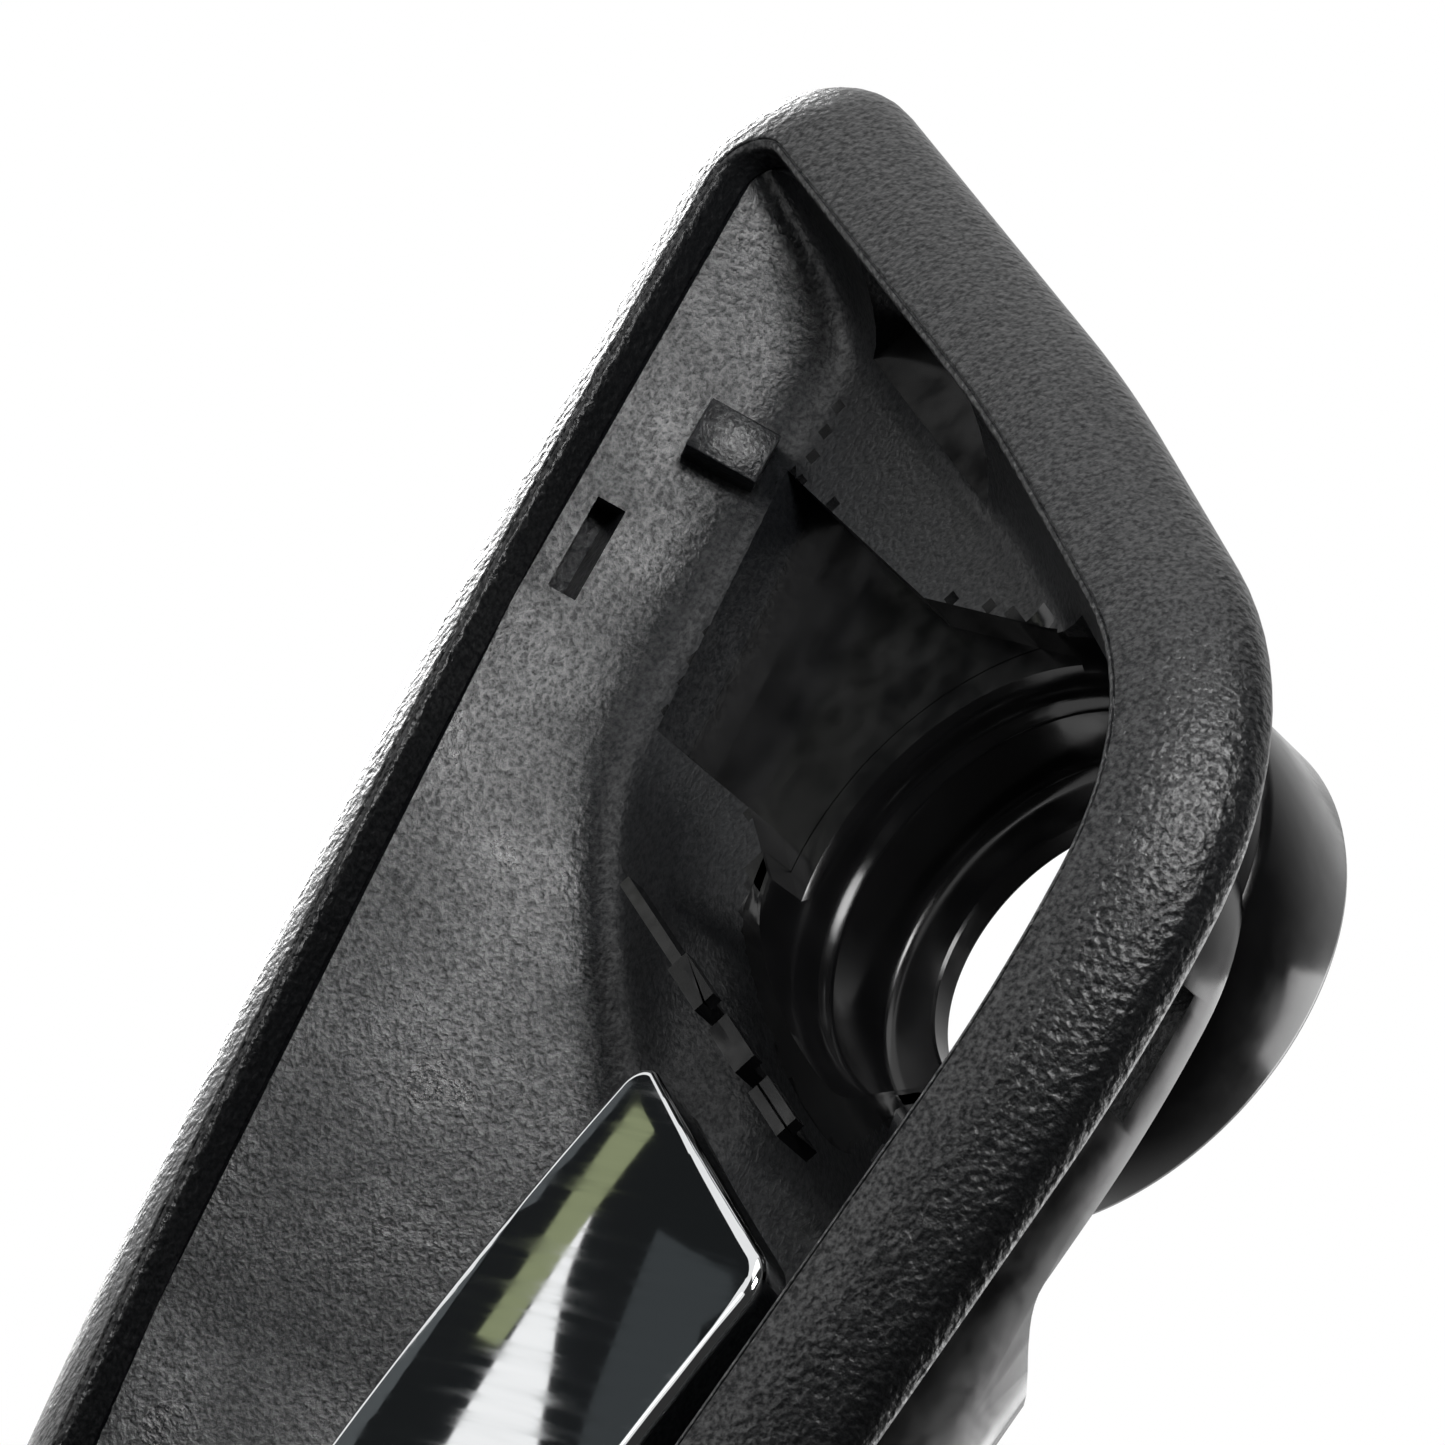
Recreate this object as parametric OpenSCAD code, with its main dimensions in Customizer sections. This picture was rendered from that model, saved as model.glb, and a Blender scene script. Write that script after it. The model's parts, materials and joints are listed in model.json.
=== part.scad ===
// Interior car door handle module: moulded bezel with a speaker duct,
// and a sprung chrome pull lever on a steel hinge pin.
// Millimetres. +X to the hinge end, +Y into the door, +Z up.
// The origin is the main fixing screw, at the back face of the scoop floor.

/* [Bezel] */
// Width of the sloping face of the flange
flange_w = 8.4; // [7:0.1:10]
// Height of the flange crest above its outer edge
crest_h = 4.5; // [3:0.1:6]
// Thickness of the flange edge
edge_t = 2.5; // [1.5:0.1:3]
// Wall thickness of the moulding
wall = 2; // [1.5:0.1:2.5]

/* [Recess] */
// Depth from the flange edge to the scoop floor
scoop_depth = 19; // [17:0.5:20]
// Depth from the flange edge to the plateau round the duct
plateau_depth = 7.5; // [6:0.5:9]
// Depth of the pocket below the plateau
pocket_depth = 3.5; // [2:0.1:4]

/* [Speaker duct] */
// Outer radius of the duct
duct_r = 21; // [20.5:0.1:21.2]
// Radius of the duct mouth
mouth_r = 18.5; // [17.5:0.1:18.8]
// Radius of the duct below its inner step
throat_r = 16.5; // [15.5:0.1:17]
// Radius of the hole in the duct floor
hole_r = 12.25; // [10:0.05:13]
// How far the duct stands out behind the plateau
duct_len = 10; // [8:0.5:12]

/* [Lever] */
// Bow radius of the lever face
bow_r = 280; // [240:10:400]
// Thickness of the chrome cap
cap_t = 1; // [0.8:0.1:1.2]
// Depth of the cap's rim
cap_rim = 3; // [2:0.1:3.5]
// Total thickness of the lever blade
blade_t = 5.5; // [5:0.1:6]

/* [Hinge] */
// Radius of the hinge pin
pin_r = 2; // [1.5:0.1:2.2]
// Radial running clearance on the pin
pin_gap = 0.05; // [0.02:0.01:0.1]
// Radius of the lever's hinge barrels
barrel_r = 5; // [4.5:0.1:5]
// Radius of the rounded ear tops
ear_r = 3.8; // [3.5:0.1:4]

/* [Fixings] */
// Radius of the screw clearance holes
screw_r = 2.6; // [2.1:0.1:3]
// Outer radius of the steel sleeves
sleeve_r = 4; // [3.5:0.1:4.5]
// Radius of the locating pegs
peg_r = 2.5; // [2:0.1:3]
// Length of the locating pegs
peg_len = 8; // [5:1:10]

/* [Hidden] */
$fn = 64;

eps = 0.01;
through = 60;

// Levels along Y, from the cabin side to the door side
floor_back = 0;
floor_y = floor_back - wall;
edge_y = floor_y - scoop_depth;
crest_y = edge_y - crest_h;
lip_y = edge_y - 2;
seat_y = edge_y + edge_t;
plateau_y = edge_y + plateau_depth;
pocket_y = plateau_y + pocket_depth;
plateau_back = pocket_y + wall;
duct_back = plateau_back + duct_len;
bend_y = -9;

// Corners of the bezel outline as [x, z, radius], anticlockwise from the tip,
// and the side that starts at each one: 0 bottom, 1 rear, 2 top, 3 slanting end
CORNERS = [[-131, -41, 12], [-75, -41, 500], [-15, -36, 500], [40, -26.5, 500], [76, -18, 20],
           [76, 25, 22], [-50, 46.5, 110], [-78, 46.5, 33], [-101, 13, 150]];
SIDE = [0, 0, 0, 0, 1, 2, 2, 3, 3];

// Inset of the bottom, rear, top and end walls at each level
lip_inset = flange_w + 0.5;
SEAT_IN = [12.7, 10.5, 9.1, 10.4];
SEAT_OUT = [10.1, 8.3, 6.9, 8.2];
BEND_IN = [20.6, 13, 9.6, 13];
BEND_OUT = [18.6, 10.8, 7.4, 11];
FLOOR_IN = [26.4, 18, 14, 20];
FLOOR_OUT = [25, 16, 11.8, 18];
PLATEAU_IN = [16.8, 12, 9.4, 12.2];
PLATEAU_OUT = [17.6, 11, 7.4, 11.4];

// Duct axis, and the slanting line between the plateau and the scoop
duct_x = -65.5;
duct_z = 16;
collar_step = 0.5;
step_x = -52;
step_z = -4;
end_angle = 61;

// Hinge axis, and the middle of the lever there
hinge_x = 46;
hinge_y = -13;
hinge_z = 5;
ear_in = 10;
ear_t = 2.5;
barrel_in = 3;
crank_t = 2.4;
barrel_end = 7;
crank_z = hinge_z - barrel_end - crank_t / 2;
crank_len = 25;
crank_r = 3.5;
hub_r = 4.2;
eye_r = 1.6;
slot_h = 4.8;
pin_head_w = 1.2;
pin_head_t = 1;
pin_clip_w = 2;
pin_clip_t = 0.8;
run_gap = 0.3;

// Cable bracket behind the floor, and the rubber stop for the crank
bracket_x = 55.5;
bracket_t = 2.5;
bracket_h = 18;
bracket_half = 6;
seat_r = 2.5;
stop_x = hinge_x - 14.3;
stop_l = 3.3;

// Screw holes and pegs as [x, z]
SCREWS = [[0, 0], [34, 9]];
PEGS = [[-26, 8], [14, 15]];
boss_r = 6;
boss_h = 3;
post_x = 16;
post_z = 11;
post_r = 3.5;
post_y = -14;

// Clip towers as [x, inset, side of the bezel], 1 top and -1 bottom
TOWERS = [[18, 3.4, 1], [52, 3.4, 1], [-62, 4, -1], [14, 4, -1]];
tower_l = 10;
tower_t = 1.8;
tower_h = 9.5;
clip_t = 0.5;
barb_l = 3.4;

black = "#1b1c1e";
dark = "#101113";
steel = "#b8bcc2";
chrome = "#e4e6ea";
rubber = "#2a2a2a";

function unit(v) = v / norm(v);
function wrap(list, i) = list[(i + len(list)) % len(list)];
function xz(c) = [c[0], c[1]];
function left_of(d) = [-d[1], d[0]];
function cross2(a, b) = a[0] * b[1] - a[1] * b[0];

// Where two lines, each a point and a direction, meet
function meet(p, d, q, e) = p + d * cross2(q - p, e) / cross2(d, e);

// The outline's corners with each side moved in by its own distance
function inset(sides) = [for (i = [0:len(CORNERS) - 1])
    let (a = xz(wrap(CORNERS, i - 1)), b = xz(CORNERS[i]), c = xz(wrap(CORNERS, i + 1)),
         d = unit(b - a), e = unit(c - b),
         s = sides[wrap(SIDE, i - 1)], t = sides[SIDE[i]],
         m = meet(b + left_of(d) * s, d, b + left_of(e) * t, e))
    [m[0], m[1], max(CORNERS[i][2] - (s + t) / 2, 3)]];

// One rounded corner as points along its arc
function arc_at(a, b, c, r) =
    let (u = unit(a - b), v = unit(c - b), half = acos(u * v) / 2,
         mid = b + unit(u + v) * r / sin(half),
         p = b + u * r / tan(half) - mid, q = b + v * r / tan(half) - mid,
         from = atan2(p[1], p[0]), turn = atan2(cross2(p, q), p * q),
         n = r > 60 ? 3 : 10)
    [for (k = [0:n]) mid + r * [cos(from + turn * k / n), sin(from + turn * k / n)]];

// A closed outline with every corner rounded
function rounded(corners) = [for (i = [0:len(corners) - 1])
    each arc_at(xz(wrap(corners, i - 1)), xz(corners[i]), xz(wrap(corners, i + 1)), corners[i][2])];

function even(d) = [d, d, d, d];

// An XZ outline as a plate from depth y0 to y1
module plate(points, y0, y1) {
    translate([0, y1, 0]) rotate([90, 0, 0]) linear_extrude(y1 - y0) polygon(points);
}

module level(sides, y) {
    plate(rounded(inset(sides)), y, y + eps);
}

// A round bar along Y
module bar_y(x, z, r, y0, y1) {
    translate([x, y1, z]) rotate([90, 0, 0]) cylinder(r = r, h = y1 - y0);
}

// A box from its low corner to its high corner
module block(low, high) {
    translate(low) cube(high - low);
}

// Everything on the tip side of the slanting step line, moved by a distance
module tip_side(shift) {
    translate([step_x, 0, step_z]) rotate([0, -end_angle, 0])
        translate([-200, -100, shift]) cube([400, 200, 200]);
}

module scoop_outside() {
    hull() {
        level(SEAT_OUT, seat_y);
        level(BEND_OUT, bend_y);
        level(FLOOR_OUT, floor_back - eps);
    }
}

module scoop_inside() {
    hull() {
        level(SEAT_IN, seat_y - eps);
        level(BEND_IN, bend_y);
        level(FLOOR_IN, floor_y - eps);
    }
}

// Blind slot in the lower wall, for the tab of a trim insert
module tab_slot() {
    translate([-81.3, -20.3, -29.8]) rotate([40, 0, 0]) cube([8, 2.4, 2.6], center = true);
}

// Window through the slanting end wall
module end_window() {
    translate([-100, -18, -9]) rotate([0, -end_angle, 0]) cube([22, 8, 9], center = true);
}

// Latch recess through the slanting wall's outer face, beside the duct
module end_recess() {
    block([-60, -14, 34], [-50, -10.6, 50]);
}

module bezel_flange() {
    color(black) difference() {
        hull() {
            plate(rounded(CORNERS), edge_y, seat_y);
            level(even(flange_w), crest_y);
        }
        plate(rounded(inset(even(lip_inset))), crest_y - 1, lip_y + eps);
        hull() {
            level(even(lip_inset), lip_y);
            level(SEAT_IN, seat_y);
        }
        tab_slot();
    }
}

// Slot through the lower wall and floor, in which the crank swings
module crank_slot() {
    block([hinge_x - 12.8, bend_y - 5, crank_z - slot_h / 2],
          [hinge_x + 5, floor_back + 1, crank_z + slot_h / 2]);
}

// Hole below the lower ear, through which the pin is pushed in
module pin_access() {
    translate([hinge_x, hinge_y, hinge_z - through / 2]) {
        cylinder(r = pin_r + 1.7, h = through / 2 - ear_in - ear_t);
        cylinder(r = pin_r + 0.3, h = through / 2);
    }
}

module scoop_pan() {
    color(black) difference() {
        union() {
            difference() {
                scoop_outside();
                scoop_inside();
            }
            for (s = SCREWS) bar_y(s[0], s[1], boss_r, floor_y - boss_h, floor_y + eps);
            bar_y(post_x, post_z, post_r, post_y, floor_y + eps);
        }
        tip_side(0);
        for (s = SCREWS) bar_y(s[0], s[1], sleeve_r, floor_y - boss_h - 1, floor_back + 1);
        crank_slot();
        pin_access();
    }
}

// Outline of the pocket that leads down to the duct mouth
function pocket_outline() = [[-94, -23], [-71, -21.5], [-66, -7.5], [-61, -2],
                             [duct_x, duct_z], [-84.2, 13], [-85.2, -2]];

module speaker_pan() {
    color(black) difference() {
        union() {
            intersection() {
                hull() {
                    level(SEAT_OUT, seat_y);
                    level(PLATEAU_OUT, plateau_back - eps);
                }
                tip_side(0);
            }
            intersection() {
                scoop_outside();
                tip_side(0);
                block([-200, plateau_y, -100], [200, floor_back, 100]);
                difference() {
                    tip_side(0);
                    tip_side(wall);
                }
            }
        }
        hull() {
            level(SEAT_IN, seat_y - eps);
            level(PLATEAU_IN, plateau_y - eps);
        }
        plate(pocket_outline(), plateau_y - 1, pocket_y);
        bar_y(duct_x, duct_z, mouth_r, seat_y - 1, plateau_y + eps);
        bar_y(duct_x, duct_z, duct_r - collar_step, plateau_y, plateau_back + eps);
        bar_y(duct_x, duct_z, duct_r, plateau_back, through);
        end_window();
        end_recess();
    }
}

// Half section of the duct, radius against depth
function duct_section() = [[mouth_r, plateau_y], [duct_r - collar_step, plateau_y],
                           [duct_r - collar_step, plateau_back], [duct_r, plateau_back],
                           [duct_r, duct_back],
                           [throat_r - 2, duct_back], [throat_r - 2, duct_back - 0.5],
                           [hole_r, duct_back - 0.5], [hole_r, duct_back - 2.5],
                           [throat_r, duct_back - 2.5], [throat_r, pocket_y + 3],
                           [mouth_r - 1, pocket_y + 2.6], [mouth_r - 1, pocket_y + 1],
                           [mouth_r, pocket_y]];

module speaker_duct() {
    color(dark) difference() {
        translate([duct_x, 0, duct_z]) rotate([-90, 0, 0]) rotate_extrude($fn = 96)
            polygon(duct_section());
        plate(pocket_outline(), plateau_y - 1, pocket_y);
        difference() {
            block([-60, plateau_y - 1, -10], [-40, pocket_y, 50]);
            tip_side(6);
        }
        hull() {
            level(SEAT_IN, seat_y - eps);
            level(PLATEAU_IN, plateau_y - eps);
        }
    }
}

// Ribs along X, and the outline of one as [y, z]
RIB_X = [-94, -42, -14, 32];
RIB = [[seat_y, -36.5], [seat_y, -15], [-6, -15], [-11, -22]];
rib_t = 1.6;

module stiffening_ribs() {
    color(black) difference() {
        for (x = RIB_X) translate([x, 0, 0]) rotate([90, 0, 90]) linear_extrude(rib_t) polygon(RIB);
        scoop_outside();
        hull() {
            level(SEAT_OUT, seat_y);
            level(PLATEAU_OUT, plateau_back - eps);
        }
        difference() {
            block([-200, -100, -100], [200, 100, 100]);
            plate(rounded(inset(even(1.5))), seat_y, through);
        }
    }
}

// Height of the bezel edge above the hinge line at x, on its top or bottom side
function edge_z(x, side) = side > 0 ? 46.5 - (x + 50) * 0.1706 : -41 + pow(x + 105, 2) / 1400;

module at_tower(t) {
    translate([t[0], seat_y, edge_z(t[0], t[2]) - t[1] * t[2]]) children();
}

module clip_towers() {
    color(black) for (t = TOWERS) at_tower(t)
        block([-tower_l / 2, 0, -tower_t / 2], [tower_l / 2, tower_h, tower_t / 2]);
}

module spring_clip() {
    side = tower_t / 2;
    for (s = [1, -1]) {
        mirror([0, 0, s > 0 ? 0 : 1]) {
            block([-3.5, 1.5, side], [3.5, tower_h + clip_t, side + clip_t]);
            translate([-2.5, tower_h - 1, side + clip_t - 0.1]) rotate([148, 0, 0])
                cube([5, barb_l, clip_t]);
        }
    }
    block([-3.5, tower_h, -side - clip_t], [3.5, tower_h + clip_t, side + clip_t]);
}

module spring_clips() {
    color(steel) for (t = TOWERS) at_tower(t) spring_clip();
}

module locating_pegs() {
    color(black) for (p = PEGS) {
        bar_y(p[0], p[1], peg_r, floor_back, floor_back + peg_len - 1);
        translate([p[0], floor_back + peg_len - 1, p[1]]) rotate([-90, 0, 0])
            cylinder(r1 = peg_r, r2 = peg_r - 1, h = 1);
    }
}

module screw_sleeves() {
    color(steel) for (s = SCREWS) difference() {
        bar_y(s[0], s[1], sleeve_r, floor_y - boss_h, floor_back);
        bar_y(s[0], s[1], screw_r, floor_y - boss_h - 1, floor_back + 1);
    }
}

module hinge_ears() {
    color(black) difference() {
        intersection() {
            for (s = [-1, 1]) translate([hinge_x, 0, hinge_z + s * (ear_in + ear_t / 2)]) {
                translate([0, hinge_y, 0]) cylinder(r = ear_r, h = ear_t, center = true);
                translate([0, (hinge_y + floor_y) / 2, 0])
                    cube([2 * ear_r, floor_y - hinge_y, ear_t], center = true);
            }
            scoop_inside();
        }
        translate([hinge_x, hinge_y, hinge_z]) cylinder(r = pin_r, h = through, center = true);
    }
}

module hinge_pin() {
    color(steel) translate([hinge_x, hinge_y, hinge_z]) {
        translate([0, 0, -ear_in - ear_t - pin_head_t]) {
            cylinder(r = pin_r, h = 2 * (ear_in + ear_t + pin_clip_t) + pin_head_t);
            cylinder(r = pin_r + pin_head_w, h = pin_head_t);
        }
    }
}

module pin_clip() {
    color(steel) translate([hinge_x, hinge_y, hinge_z + ear_in + ear_t]) difference() {
        cylinder(r = pin_r + pin_clip_w, h = pin_clip_t);
        cylinder(r = pin_r, h = through, center = true);
    }
}

// Return spring: the wire's path, and the tube swept along it
spring_r = 3.2;
wire_r = 0.5;
turns = 3.5;
ring_n = 16;
SPRING_PATH = concat(
    [[-14, -5.5, 2.2], [-6, -3.9, 2.2]],
    [for (k = [0:ring_n * turns])
        let (a = -90 + k * 360 / ring_n, f = k / (ring_n * turns))
        [spring_r * cos(a), spring_r * sin(a), 2.2 - 4.4 * f]],
    [[-3.4, 6, -2.2], [-3.6, floor_y - hinge_y - 0.6, -2.2]]);

function along(path, i) = unit(path[min(i + 1, len(path) - 1)] - path[max(i - 1, 0)]);
function ring_at(path, i, r, n) =
    let (t = along(path, i), side = unit(cross(t, [0, 0, 1])), up = cross(side, t))
    [for (k = [0:n - 1]) path[i] + r * (side * cos(k * 360 / n) + up * sin(k * 360 / n))];

module swept(path, r, n) {
    last = len(path) - 1;
    polyhedron(
        points = [for (i = [0:last]) each ring_at(path, i, r, n)],
        faces = concat(
            [[for (k = [0:n - 1]) k]],
            [for (i = [0:last - 1], k = [0:n - 1])
                [i * n + k, (i + 1) * n + k, (i + 1) * n + (k + 1) % n, i * n + (k + 1) % n]],
            [[for (k = [n - 1:-1:0]) last * n + k]]));
}

module return_spring() {
    color(steel) translate([hinge_x, hinge_y, hinge_z]) swept(SPRING_PATH, wire_r, 8);
}

// Front outline of the lever, as [x, z, radius]
LEVER = [[-43.2, 4.8, 1.6], [54, -8.2, 7], [54, 16.8, 6], [-29.2, 29.6, 4]];

function lever_edge(d) = rounded([
    [LEVER[0][0] + d, LEVER[0][1] + d, LEVER[0][2]],
    [LEVER[1][0] - d, LEVER[1][1] + d, LEVER[1][2]],
    [LEVER[2][0] - d, LEVER[2][1] - d, LEVER[2][2]],
    [LEVER[3][0] + d * 0.6, LEVER[3][1] - d, LEVER[3][2]]]);

function face_y(x) = crest_y - 0.5 + pow(x - 5, 2) / (2 * bow_r);

// The bowed layer of the lever between two depths behind its face
module bowed(d, from, to) {
    stations = [for (x = [-45:6:57]) x];
    intersection() {
        translate([0, 0, -20]) linear_extrude(60) polygon(concat(
            [for (x = stations) [x, face_y(x) + from]],
            [for (i = [len(stations) - 1:-1:0]) [stations[i], face_y(stations[i]) + to]]));
        plate(lever_edge(d), -40, 0);
    }
}

// Places of the two cap screws along the lever, as [x, z]
CAP_SCREWS = [[-22, 15], [26, 8]];
cap_boss_r = 2.2;
cap_screw_r = 1.1;

module lever_core() {
    color(dark) difference() {
        union() {
            bowed(cap_t, cap_t, blade_t);
            for (s = [-1, 1]) translate([hinge_x, hinge_y, hinge_z]) mirror([0, 0, s > 0 ? 0 : 1])
                translate([0, 0, barrel_in]) {
                    len_z = (s > 0 ? ear_in - run_gap : barrel_end) - barrel_in;
                    cylinder(r = barrel_r, h = len_z);
                    translate([-barrel_r, -6, 0]) cube([2 * barrel_r, 6, len_z]);
                }
        }
        translate([hinge_x, hinge_y, hinge_z]) cylinder(r = pin_r + pin_gap, h = through, center = true);
        for (s = CAP_SCREWS) bar_y(s[0], s[1], cap_boss_r, -30, 0);
    }
}

module lever_cap() {
    color(chrome) {
        difference() {
            bowed(0, 0, cap_rim);
            bowed(cap_t, cap_t, cap_rim + 1);
        }
        for (s = CAP_SCREWS) difference() {
            bar_y(s[0], s[1], cap_boss_r, face_y(s[0]) + cap_t / 2, face_y(s[0]) + blade_t - 0.4);
            bar_y(s[0], s[1], cap_screw_r, face_y(s[0]) + 2, 0);
        }
    }
}

module cap_screws() {
    color(steel) for (s = CAP_SCREWS) translate([s[0], face_y(s[0]), s[1]]) {
        bar_y(0, 0, cap_screw_r, 2, blade_t + 0.3);
        bar_y(0, 0, 3, blade_t + 0.25, blade_t + 1.5);
    }
}

module cable_crank() {
    color(steel) translate([hinge_x, hinge_y, crank_z]) difference() {
        union() {
            cylinder(r = hub_r, h = crank_t, center = true);
            translate([0, crank_len, 0]) cylinder(r = crank_r, h = crank_t, center = true);
            translate([-crank_r, 0, -crank_t / 2]) cube([2 * crank_r, crank_len, crank_t]);
        }
        cylinder(r = pin_r + pin_gap, h = through, center = true);
        translate([0, crank_len, 0]) cylinder(r = eye_r, h = through, center = true);
    }
}

module cable_bracket() {
    color(black) difference() {
        union() {
            block([bracket_x, bend_y - 2, crank_z - bracket_half],
                  [bracket_x + bracket_t, bracket_h, crank_z + bracket_half]);
            for (z = [-bracket_half, bracket_half - 3])
                block([bracket_x - 5, bend_y - 2, crank_z + z], [bracket_x, 2, crank_z + z + 3]);
        }
        scoop_outside();
        translate([bracket_x + bracket_t / 2, hinge_y + crank_len, crank_z]) rotate([0, 90, 0])
            cylinder(r = seat_r, h = 9, center = true);
    }
}

module rest_bumper() {
    color(rubber) bar_y(post_x, post_z, post_r - 0.5, face_y(post_x) + blade_t + 0.35, post_y);
}

module open_bumper() {
    color(rubber) difference() {
        block([stop_x - stop_l, bend_y + 3, crank_z - 4], [stop_x, 3, crank_z + 4]);
        scoop_outside();
    }
}

// Snap block on the lower slope, for a trim insert, and the width of its mouth
snap_w = 4.2;
snap_hole_w = 2.4;

module grille_snap_block() {
    slope = atan2(PLATEAU_IN[0] - SEAT_IN[0], plateau_y - seat_y);
    color(dark) translate([-93, seat_y, CORNERS[0][1] + SEAT_IN[0]]) rotate([slope, 0, 0]) difference() {
        block([-snap_w / 2, 0.1, 0.15], [snap_w / 2, 5.9, 3.15]);
        block([-snap_hole_w / 2, -1, 0.7], [snap_hole_w / 2, 2, 2.2]);
    }
}

// Thin rib and three snap fingers along the top of the slanting step
finger_l = 5.5;
finger_h = 3.2;
hook_h = 1.2;

module grille_snap_fingers() {
    color(dark) translate([step_x, plateau_y, step_z]) rotate([0, -end_angle, 0]) {
        translate([-12, -1.4, 0.2]) cube([12, 1.4, 1]);
        for (x = [1, 9, 17]) translate([x, -finger_h, 0]) {
            cube([finger_l, finger_h, hook_h]);
            translate([0, 0, hook_h]) cube([finger_l, hook_h, 0.8]);
        }
    }
}

// Hollow snap block under the top side's lip
module grille_snap_top() {
    x = -41.5;
    tilt = atan2(CORNERS[6][1] - CORNERS[5][1], CORNERS[5][0] - CORNERS[6][0]);
    color(dark) translate([x, 0, edge_z(x, 1) - SEAT_IN[2] / cos(tilt)]) rotate([0, tilt, 0]) difference() {
        block([-3.5, lip_y + 0.4, -3.2], [3.5, seat_y, 0]);
        block([-2.1, lip_y, -4], [2.1, lip_y + 2, -1.2]);
    }
}

bezel_flange();
scoop_pan();
speaker_pan();
speaker_duct();
stiffening_ribs();
clip_towers();
spring_clips();
locating_pegs();
screw_sleeves();
hinge_ears();
hinge_pin();
pin_clip();
return_spring();
lever_core();
lever_cap();
cap_screws();
cable_crank();
cable_bracket();
rest_bumper();
open_bumper();
grille_snap_block();
grille_snap_fingers();
grille_snap_top();
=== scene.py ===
"""Looks of an interior car door handle: grained bezel, gloss speaker duct and chrome pull lever."""

import json
import math

import bmesh
import bpy
import numpy as np
from mathutils import Matrix, Vector

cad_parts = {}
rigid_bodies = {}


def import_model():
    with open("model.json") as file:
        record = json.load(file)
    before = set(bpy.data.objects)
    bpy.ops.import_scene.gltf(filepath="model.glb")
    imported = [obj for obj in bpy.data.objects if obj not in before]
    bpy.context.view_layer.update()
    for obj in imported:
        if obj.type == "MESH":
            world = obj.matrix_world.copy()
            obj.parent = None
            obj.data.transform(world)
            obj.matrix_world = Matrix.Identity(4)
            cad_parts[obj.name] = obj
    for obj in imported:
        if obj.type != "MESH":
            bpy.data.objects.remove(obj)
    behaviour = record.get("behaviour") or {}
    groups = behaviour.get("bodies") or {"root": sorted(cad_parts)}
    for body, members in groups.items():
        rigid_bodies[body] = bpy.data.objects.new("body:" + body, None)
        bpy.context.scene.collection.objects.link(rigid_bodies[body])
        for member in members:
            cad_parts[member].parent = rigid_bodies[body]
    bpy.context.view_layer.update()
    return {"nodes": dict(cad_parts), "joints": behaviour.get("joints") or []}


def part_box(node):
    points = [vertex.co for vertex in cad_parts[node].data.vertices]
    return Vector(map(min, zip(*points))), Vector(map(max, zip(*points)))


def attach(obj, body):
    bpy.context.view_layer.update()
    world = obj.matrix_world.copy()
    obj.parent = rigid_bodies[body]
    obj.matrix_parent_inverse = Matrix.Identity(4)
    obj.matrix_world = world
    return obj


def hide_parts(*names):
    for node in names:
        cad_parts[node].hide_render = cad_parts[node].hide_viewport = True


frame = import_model()

MM = 0.001
HOUSING = "housing"
LEVER = "lever"

# Levels and axes, in millimetres, from the frame
flange_low, flange_high = (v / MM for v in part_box("bezel_flange"))
duct_low, duct_high = (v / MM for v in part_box("speaker_duct"))
core_low, core_high = (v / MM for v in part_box("lever_core"))
cap_low, cap_high = (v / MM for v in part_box("lever_cap"))
CREST_Y = flange_low.y
SEAT_Y = flange_high.y
EDGE_Y = SEAT_Y - 2.5
LIP_Y = EDGE_Y - 2
FLOOR_Y = -2.0
FLOOR_BACK = 0.0
PLATEAU_Y = duct_low.y
POCKET_Y = PLATEAU_Y + 3.5
PLATEAU_BACK = POCKET_Y + 2
DUCT_BACK = duct_high.y
DUCT = ((duct_low.x + duct_high.x) / 2, (duct_low.z + duct_high.z) / 2)
DUCT_R = (duct_high.x - duct_low.x) / 2
HINGE = Vector(frame["joints"][0]["pos_m"]) / MM

# Bezel outline as (x, z, radius, side), anticlockwise from the tip
BOTTOM, REAR, TOP, END = range(4)
CORNERS = [(-131, -41, 12, BOTTOM), (-75, -41, 500, BOTTOM), (-15, -36, 500, BOTTOM), (40, -26.5, 500, BOTTOM),
           (76, -18, 20, REAR), (76, 25, 22, TOP), (-50, 46.5, 110, TOP), (-78, 46.5, 33, END), (-101, 13, 150, END)]
LIP = 8.9
SEAT_IN = (12.7, 10.5, 9.3, 10.4)
SEAT_OUT = (10.1, 8.3, 6.9, 8.2)
BEND_Y = -9.0
BEND_IN = (20.6, 13, 9.9, 13)
BEND_OUT = (18.6, 10.8, 7.4, 11)
FLOOR_IN = (26.4, 18, 14, 20)
FLOOR_OUT = (25, 16, 11.8, 18)
PLATEAU_OUT = (17.6, 11, 7.4, 11.4)
STEP = (-52, -4)
STEP_ANGLE = math.radians(61)
BOW_R = 280
BOW_X = 5


# Small helpers -----------------------------------------------------------------------------

def linear(hex_colour):
    """An sRGB hex colour as linear red, green, blue and alpha."""
    parts = [int(hex_colour[i:i + 2], 16) / 255 for i in (1, 3, 5)]
    return [c / 12.92 if c <= 0.04045 else ((c + 0.055) / 1.055) ** 2.4 for c in parts] + [1.0]


def add_node(tree, kind, settings=None, links=None):
    """Adds a node, sets its properties and input values, and links its inputs."""
    node = tree.nodes.new(kind)
    for key, value in (settings or {}).items():
        if isinstance(key, str) and hasattr(node, key):
            setattr(node, key, value)
        else:
            node.inputs[key].default_value = value
    for key, source in (links or {}).items():
        tree.links.new(source, node.inputs[key])
    return node


def deselect():
    for obj in bpy.context.selected_objects:
        obj.select_set(False)


def activate(obj):
    deselect()
    obj.select_set(True)
    bpy.context.view_layer.objects.active = obj


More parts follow.
